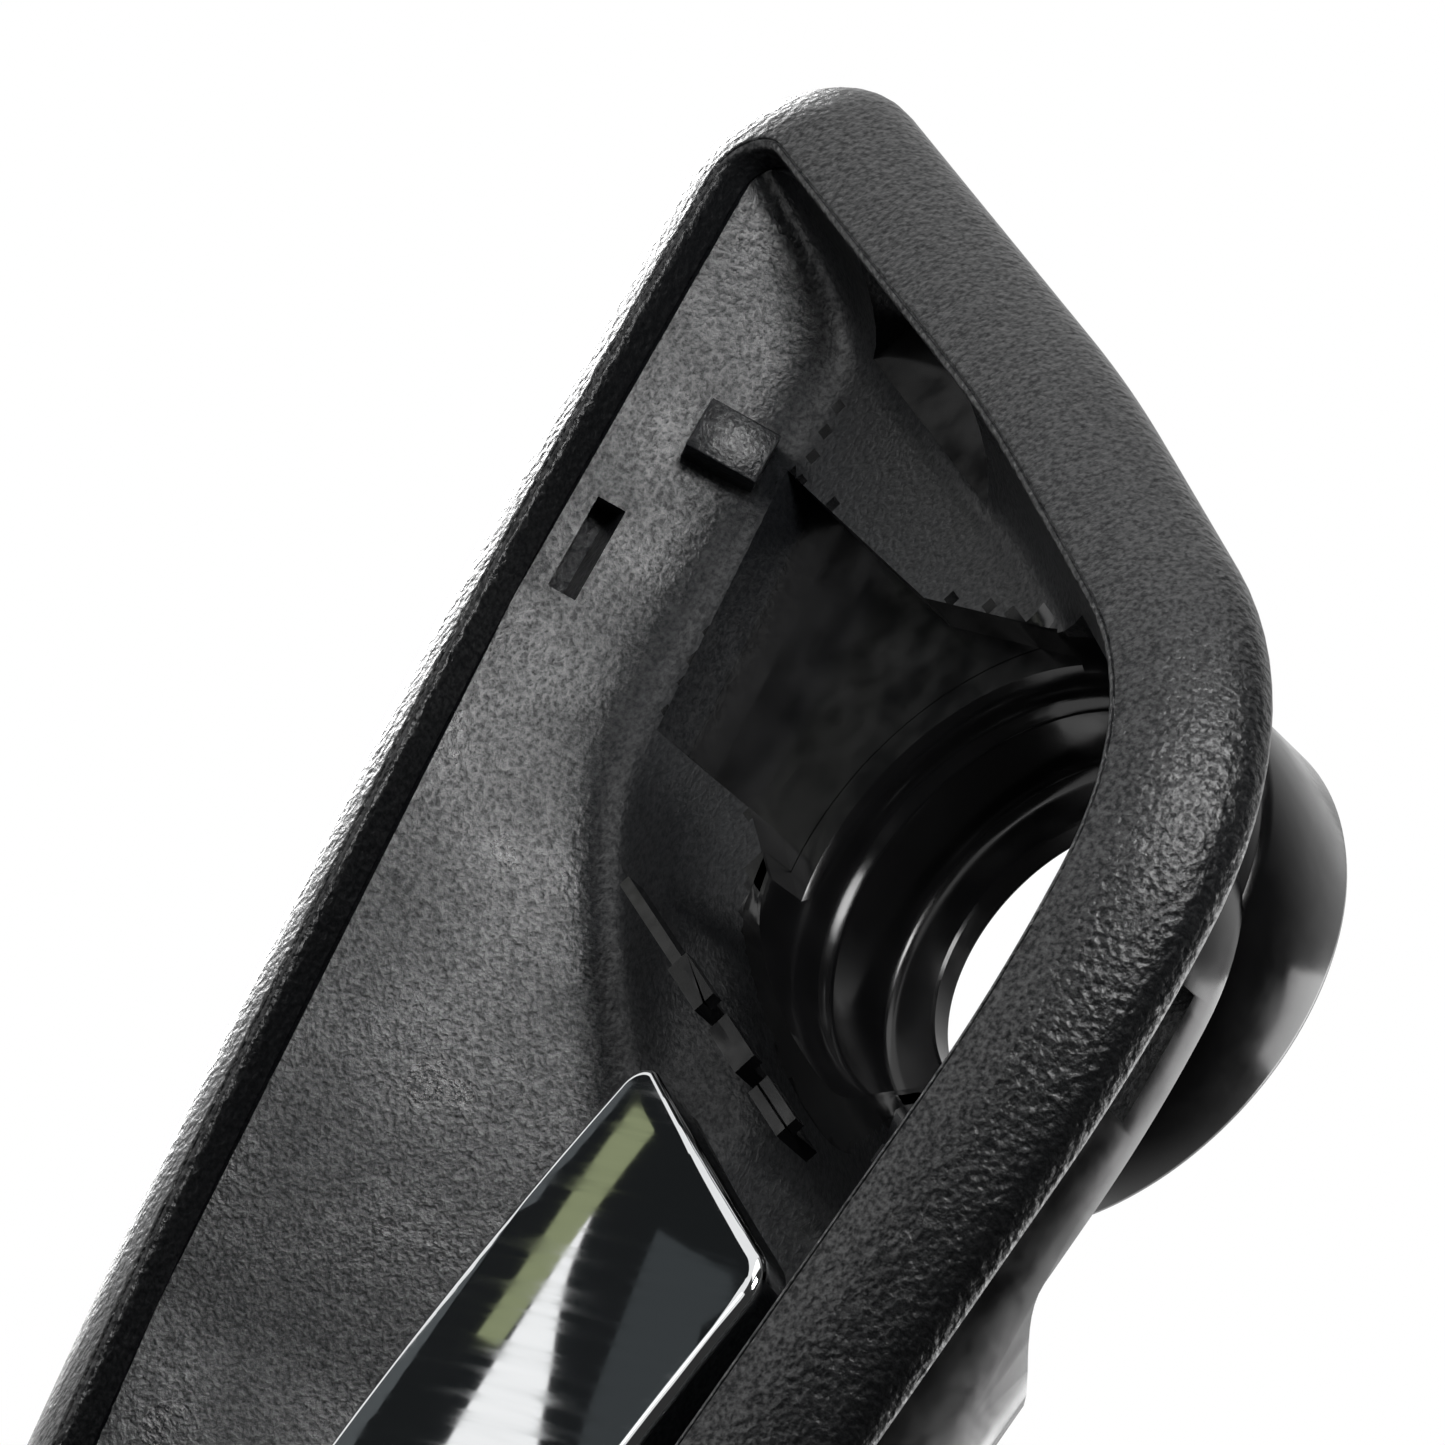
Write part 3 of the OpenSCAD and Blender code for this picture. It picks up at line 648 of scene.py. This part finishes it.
def inside(x, z, outline):
    """Whether a point lies inside a closed outline."""
    crossings = 0
    for (ax, az), (bx, bz) in zip(outline, outline[1:] + outline[:1]):
        if (az > z) != (bz > z) and x < ax + (z - az) * (bx - ax) / (bz - az):
            crossings += 1
    return crossings % 2 == 1


def paint_smooth_faces(pan):
    """The pocket and the outside are moulded against plain faces, so they take the smooth finish."""
    pan.data.materials.append(SMOOTH)
    duct_x, duct_z = DUCT
    cx = sum(x for x, _ in POCKET) / len(POCKET)
    cz = sum(z for _, z in POCKET) / len(POCKET)
    grown = [(cx + (x - cx) * 1.04, cz + (z - cz) * 1.04) for x, z in POCKET]
    for face in pan.data.polygons:
        x, y, z = face.center / MM
        leaning_out = face.normal.x * (x + 30) + face.normal.z * (z - 5) > 0
        outside = face.normal.y > 0.15 or (y > SEAT_Y and leaning_out)
        near_duct = math.hypot(x - duct_x, z - duct_z) < 20.6 and y > PLATEAU_Y - 0.2
        sunk = inside(x, z, grown) and y > float(surface_height(x, z)) + 0.3
        if outside or near_duct or sunk:
            face.material_index = 1


def make_duct():
    """The round duct: a rolled mouth, two inner steps, the floor ring with its hole, and the outer cup."""
    throat, hole = 16.5, 12.25
    section = [(18.5, PLATEAU_Y + 0.3), (18.9, PLATEAU_Y), (19.8, PLATEAU_Y), (20.3, PLATEAU_Y + 0.3), (20.5, PLATEAU_Y + 0.9),
               (20.5, PLATEAU_BACK - 0.3), (20.8, PLATEAU_BACK), (21, PLATEAU_BACK + 0.4), (DUCT_R, DUCT_BACK - 0.6),
               (20.8, DUCT_BACK - 0.2), (20.4, DUCT_BACK), (14.9, DUCT_BACK), (14.6, DUCT_BACK - 0.15),
               (14.5, DUCT_BACK - 0.5), (hole + 0.2, DUCT_BACK - 0.5), (hole, DUCT_BACK - 0.7),
               (hole, DUCT_BACK - 2.3), (hole + 0.2, DUCT_BACK - 2.5), (throat - 1.2, DUCT_BACK - 2.5),
               (throat - 0.5, DUCT_BACK - 2.75), (throat - 0.1, DUCT_BACK - 3.3), (throat, DUCT_BACK - 4),
               (throat, POCKET_Y + 3.4), (throat + 0.1, POCKET_Y + 3.1), (throat + 0.4, POCKET_Y + 2.85),
               (17.1, POCKET_Y + 2.6), (17.35, POCKET_Y + 2.3), (17.45, POCKET_Y + 1.6), (17.6, POCKET_Y + 1),
               (17.9, POCKET_Y + 0.4), (18.3, POCKET_Y - 0.1)]
    duct = lathe("speaker_duct_skin", section, DUCT, 160)
    boolean(duct, drafted("pocket", POCKET, PLATEAU_Y - 6, POCKET_Y, 0.04), "DIFFERENCE")
    sky = surface_block("sky", -40)
    sky.data.transform(Matrix.Translation((0, -0.02 * MM, 0)))
    boolean(duct, sky, "DIFFERENCE")
    return finish_piece(duct, HOUSING, SMOOTH, ["speaker_duct"], angle=40)


# Lever -------------------------------------------------------------------------------------

def make_cap():
    """The chrome tray that forms the lever's face: rounded rim, bowed along its length."""
    corners = [(-43.2, 4.8, 1.6), (54, -8.2, 7), (54, 16.8, 6), (-29.2, 29.6, 4)]
    rim = 3.0
    rings = []
    for d, y in ((1.0, rim), (0.12, rim), (0, rim - 0.12), (0, 0.95), (0.07, 0.6), (0.28, 0.28), (0.6, 0.07), (0.95, 0)):
        moved = [(corners[0][0] + d, corners[0][1] + d, corners[0][2] - d * 0.3),
                 (corners[1][0] - d, corners[1][1] + d, corners[1][2] - d),
                 (corners[2][0] - d, corners[2][1] - d, corners[2][2] - d),
                 (corners[3][0] + d * 0.6, corners[3][1] - d, corners[3][2] - d)]
        rings.append([(x, y, z) for x, z in rounded(moved, 12, 2)])
    inner = [[(x, 1.0, z) for x, _, z in rings[0]]]
    cap = loft("lever_cap_skin", inner + rings)
    activate(cap)
    bpy.ops.object.mode_set(mode="EDIT")
    cuts = [((x, 0, 0), (1, 0, 0)) for x in range(-42, 56, 2)] + [((0, 0, z), (0, 0, 1)) for z in range(-8, 29, 3)]
    for place, normal in cuts:
        bpy.ops.mesh.select_all(action="SELECT")
        bpy.ops.mesh.bisect(plane_co=Vector(place) * MM, plane_no=normal)
    bpy.ops.object.mode_set(mode="OBJECT")
    for v in cap.data.vertices:
        x, z = v.co.x / MM, v.co.z / MM
        mid = 17.2 - (x + 36) * 0.144
        crown = 0.35 * ((z - mid) / 12.5) ** 2
        v.co.y += (CREST_Y - 0.49 + (x - BOW_X) ** 2 / (2 * BOW_R) + crown) * MM
    cap.data.update()
    finish_piece(cap, LEVER, CHROME, ["lever_cap"], angle=50)
    activate(cap)
    bpy.ops.object.modifier_add(type="WEIGHTED_NORMAL")
    cap.modifiers[-1].keep_sharp = True
    bpy.ops.object.modifier_apply(modifier=cap.modifiers[-1].name)
    return cap


# Small pieces ------------------------------------------------------------------------------

def make_snap_fingers():
    """A thin rib and three hooked fingers along the top of the step."""
    parts = [block("rib", (-12, PLATEAU_Y - 1.4, 0.2), (-0.3, PLATEAU_Y + 0.4, 1.1), STEP_ANGLE, STEP)]
    for x in (1, 9, 17):
        parts.append(block("finger", (x, PLATEAU_Y - 3.1, 0.1), (x + 5.4, PLATEAU_Y + 0.4, 1.1), STEP_ANGLE, STEP))
        parts.append(block("hook", (x, PLATEAU_Y - 3.1, 0.9), (x + 5.4, PLATEAU_Y - 2.1, 1.9), STEP_ANGLE, STEP))
    return join(parts, "grille_snap_fingers_skin")


def join(parts, name):
    """Joins blocks into one piece with rounded edges."""
    whole = parts[0]
    for other in parts[1:]:
        boolean(whole, other, "UNION")
    whole.name = name
    round_edges(whole, 0.22, 3)
    return whole


def make_snap_block():
    """The hollow snap block on the lower slope, with its cross-shaped mouth."""
    low, high = (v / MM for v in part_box("grille_snap_block"))
    slope = math.atan2(4.1, 5)
    body = block("grille_snap_block_skin", (-2.1, 0.1, -0.9), (2.1, 5.9, 3.1), tilt=slope)
    boolean(body, block("mouth", (-1.4, -1, 0.7), (1.4, 1.9, 2.2), tilt=slope), "DIFFERENCE")
    boolean(body, block("cross", (-0.6, -1, 0.2), (0.6, 1.9, 2.8), tilt=slope), "DIFFERENCE")
    foot = Vector(((low.x + high.x) / 2, SEAT_Y, CORNERS[0][1] + SEAT_IN[0]))
    body.data.transform(Matrix.Translation(foot * MM))
    round_edges(body, 0.18, 2)
    return body


def helix_spring():
    """The return spring: round wire wound about the hinge pin, with its two straight legs."""
    radius, wire, turns, steps = 3.2, 0.5, 3.5, 24
    path = [(-14, -5.5, 2.2), (-6, -3.9, 2.2)]
    for k in range(int(steps * turns) + 1):
        a = math.radians(-90 + k * 360 / steps)
        path.append((radius * math.cos(a), radius * math.sin(a), 2.2 - 4.4 * k / (steps * turns)))
    path += [(-3.4, 6, -2.2), (-3.6, FLOOR_Y - HINGE.y - 0.6, -2.2)]
    curve = bpy.data.curves.new("return_spring_wire", "CURVE")
    curve.dimensions = "3D"
    curve.bevel_depth = wire * MM
    curve.bevel_resolution = 5
    curve.use_fill_caps = True
    line = curve.splines.new("POLY")
    line.points.add(len(path) - 1)
    for point, place in zip(line.points, path):
        point.co = (*((Vector(place) + HINGE) * MM), 1)
    obj = bpy.data.objects.new("return_spring_wire", curve)
    bpy.context.scene.collection.objects.link(obj)
    activate(obj)
    bpy.ops.object.convert(target="MESH")
    return bpy.context.active_object


make_flange()
make_pan()
make_duct()
make_cap()
finish_piece(make_snap_fingers(), HOUSING, SMOOTH, ["grille_snap_fingers"])
finish_piece(make_snap_block(), HOUSING, SPARK, ["grille_snap_block"])
finish_piece(helix_spring(), HOUSING, SPRING, ["return_spring"], angle=50)

CARRIED = {"stiffening_ribs": SMOOTH, "clip_towers": SMOOTH, "spring_clips": SPRING, "locating_pegs": SMOOTH,
           "screw_sleeves": ZINC, "hinge_ears": SMOOTH, "hinge_pin": ZINC, "pin_clip": SPRING, "lever_core": NYLON,
           "cap_screws": ZINC, "cable_crank": ZINC, "cable_bracket": SMOOTH, "rest_bumper": RUBBER,
           "open_bumper": RUBBER, "grille_snap_top": SMOOTH}
for node_name, finish in CARRIED.items():
    node = frame["nodes"][node_name]
    if not node.material_slots:
        node.data.materials.append(finish)
    for place in node.material_slots:
        place.material = finish


# Camera ------------------------------------------------------------------------------------

LOOK_AT = Vector((-80, 2, -34)) * MM
DISTANCE = 0.6391
AZIMUTH, ELEVATION, ROLL = (math.radians(a) for a in (25.53, 47.99, 99.76))
backward = Vector((math.sin(AZIMUTH) * math.cos(ELEVATION), -math.cos(AZIMUTH) * math.cos(ELEVATION),
                   math.sin(ELEVATION)))
right = (-backward).cross(Vector((0, 0, 1))).normalized()
up = right.cross(-backward)
right_rolled = math.cos(ROLL) * right + math.sin(ROLL) * up
up_rolled = -math.sin(ROLL) * right + math.cos(ROLL) * up


def make_camera():
    data = bpy.data.cameras.new("camera")
    data.sensor_width = 36
    data.lens = 213.4
    data.clip_start = 0.01
    camera = bpy.data.objects.new("camera", data)
    bpy.context.scene.collection.objects.link(camera)
    turn = Matrix((right_rolled, up_rolled, backward)).transposed().to_4x4()
    camera.matrix_world = Matrix.Translation(LOOK_AT + backward * DISTANCE) @ turn
    bpy.context.scene.camera = camera


make_camera()


# Studio ------------------------------------------------------------------------------------

def seen_in_image(tree, glossy=True):
    """1 for rays that show the background as the eye sees it, 0 for those that light the object."""
    path = add_node(tree, "ShaderNodeLightPath")
    total = add_node(tree, "ShaderNodeMath", {"operation": "ADD", "use_clamp": True},
                     {0: path.outputs["Is Camera Ray"], 1: path.outputs["Is Transmission Ray"]})
    if glossy:
        total = add_node(tree, "ShaderNodeMath", {"operation": "ADD", "use_clamp": True},
                         {0: total.outputs[0], 1: path.outputs["Is Glossy Ray"]})
    return total


def make_world():
    world = bpy.data.worlds.new("studio")
    bpy.context.scene.world = world
    world.use_nodes = True
    tree = world.node_tree
    tree.nodes.clear()
    seen = seen_in_image(tree, glossy=False)
    direction = add_node(tree, "ShaderNodeTexCoord").outputs["Generated"]
    facing = add_node(tree, "ShaderNodeVectorMath", {"operation": "DOT_PRODUCT", 1: tuple(-backward)}, {0: direction})
    away = add_node(tree, "ShaderNodeMapRange", {"interpolation_type": "SMOOTHSTEP", "From Min": -0.1, "From Max": 0.75,
                                                 "To Min": 0.035, "To Max": 0.9}, {"Value": facing.outputs["Value"]})
    plain = add_node(tree, "ShaderNodeBackground", {"Color": (1, 1, 1, 1)}, {"Strength": away.outputs["Result"]})
    white = add_node(tree, "ShaderNodeBackground", {"Color": (1, 1, 1, 1), "Strength": 1.0})
    mixed = add_node(tree, "ShaderNodeMixShader", {}, {0: seen.outputs[0], 1: plain.outputs[0], 2: white.outputs[0]})
    add_node(tree, "ShaderNodeOutputWorld", {}, {"Surface": mixed.outputs[0]})


def studio_place(sideways, upwards, towards):
    """A point given in metres across, up and towards the camera from the middle of the view."""
    return LOOK_AT + right_rolled * sideways + up_rolled * upwards + backward * towards


def softbox(name, place, target, size, watts, colour=(1, 1, 1)):
    data = bpy.data.lights.new(name, "AREA")
    data.shape = "RECTANGLE"
    data.size, data.size_y = size
    data.energy = watts
    data.color = colour
    lamp = bpy.data.objects.new(name, data)
    bpy.context.scene.collection.objects.link(lamp)
    lamp.location = place
    lamp.rotation_euler = (target - place).to_track_quat("-Z", "Y").to_euler()
    return lamp


def make_lights():
    aim = LOOK_AT + Vector((0.03, -0.02, 0.03))
    softbox("softbox_front", studio_place(-0.55, 0.55, 0.45), aim, (0.5, 0.7), 1.0)
    softbox("softbox_right", studio_place(0.6, -0.25, -0.3), aim, (0.3, 0.6), 2.4)
    softbox("softbox_top", studio_place(0.1, 0.85, 0.15), aim, (0.6, 0.3), 0.9)
    softbox("softbox_behind", LOOK_AT + Vector((-0.12, 0.08, -0.36)), aim, (0.25, 0.25), 3.0)
    sheen = Vector((-0.088, -0.015, -0.026))
    softbox("softbox_sheen", sheen + Vector((-0.30, -0.60, 0.74)) * 0.17, sheen, (0.05, 0.05), 0.14)
    for lamp in bpy.data.objects:
        if lamp.type == "LIGHT":
            lamp.visible_camera = False


def mirror_ray(x, z):
    """The point of the lever's face at (x, z), and the direction that the camera sees mirrored there."""
    place = Vector((x, CREST_Y - 0.5 + (x - BOW_X) ** 2 / (2 * BOW_R), z)) * MM
    mid = 17.2 - (x + 36) * 0.144
    normal = Vector(((x - BOW_X) / BOW_R, -1, 2 * 0.35 * (z - mid) / 12.5 ** 2)).normalized()
    ray = (place - (LOOK_AT + backward * DISTANCE)).normalized()
    return place, ray - 2 * ray.dot(normal) * normal


def painted_reflection_card(name, corners, distance, colour, strength):
    """A glowing sheet, no lamp, that paints a reflection on the lever's face inside four (x, z) corners, placed along
    the main camera's mirrored rays; only mirrors see it.
    """
    a, b, c, d = (Vector(corner) for corner in corners)
    cells = 8
    points = []
    for i in range(cells + 1):
        for j in range(cells + 1):
            s, t = i / cells, j / cells
            place, ray = mirror_ray(*(a.lerp(b, s).lerp(d.lerp(c, s), t)))
            points.append((place + ray * distance) / MM)
    row = cells + 1
    faces = [(k, k + 1, k + row + 1, k + row) for k in range(cells * row) if k % row < cells]
    flat = solid(name, points, faces)
    material = bpy.data.materials.new(name + "_paint")
    material.use_nodes = True
    tree = material.node_tree
    tree.nodes.clear()
    # The glow is the colour of the painted reflection; the sheet lights nothing.
    glow = add_node(tree, "ShaderNodeEmission", {"Color": linear(colour), "Strength": strength})
    add_node(tree, "ShaderNodeOutputMaterial", {}, {"Surface": glow.outputs[0]})
    flat.data.materials.append(material)
    # Hidden from camera, diffuse, transmission and shadow rays, so the sheet shows only as a painted reflection.
    for kind in ("visible_camera", "visible_diffuse", "visible_transmission", "visible_shadow"):
        setattr(flat, kind, False)


def make_painted_reflections():
    """Painted reflections for the chrome, placed for the main camera: glowing sheets standing for a dark room, an olive
    card, a white wedge of softbox and a grey wall.
    """
    # Each glowing sheet paints one patch of the lever face's reflection: dark room, grey band, olive strip, white
    # highlight, grey wall.
    painted_reflection_card("painted_reflection_dark", [(-48, 1), (62, -12), (62, 24), (-36, 34)], 0.5, "#1d1f20", 1.0)
    painted_reflection_card("painted_reflection_grey_band", [(-46, 4), (0, 2), (0, -4), (-46, -2)], 0.49, "#54585a", 1.0)
    painted_reflection_card("painted_reflection_olive", [(-39.8, 8.0), (-38.1, 11.3), (-19, 10.6), (-19.9, 7.8)], 0.46, "#8f9674", 1.0)
    painted_reflection_card("painted_highlight_white", [(-31.5, 10.8), (-26, 12.5), (-8, 22), (-8, 11.5)], 0.47, "#ffffff", 1.1)
    painted_reflection_card("painted_reflection_grey", [(-30, 18), (-27, 26), (-5, 40), (-5, 25)], 0.48, "#3d4143", 1.0)


def make_floor():
    bpy.ops.mesh.primitive_plane_add(size=6)
    floor = bpy.context.active_object
    floor.name = "floor"
    floor.data.transform(Matrix.Translation((0, 0, -0.42)))
    material = bpy.data.materials.new("studio_paper")
    material.use_nodes = True
    tree = material.node_tree
    tree.nodes.clear()
    seen = seen_in_image(tree, glossy=True)
    paper = add_node(tree, "ShaderNodeBsdfDiffuse", {"Color": linear("#f2f2f0")})
    glow = add_node(tree, "ShaderNodeEmission", {"Color": (1, 1, 1, 1), "Strength": 1.0})
    mixed = add_node(tree, "ShaderNodeMixShader", {}, {0: seen.outputs[0], 1: paper.outputs[0], 2: glow.outputs[0]})
    add_node(tree, "ShaderNodeOutputMaterial", {}, {"Surface": mixed.outputs[0]})
    floor.data.materials.append(material)


make_world()
make_lights()
make_painted_reflections()
make_floor()
bpy.context.scene.view_settings.view_transform = "Standard"
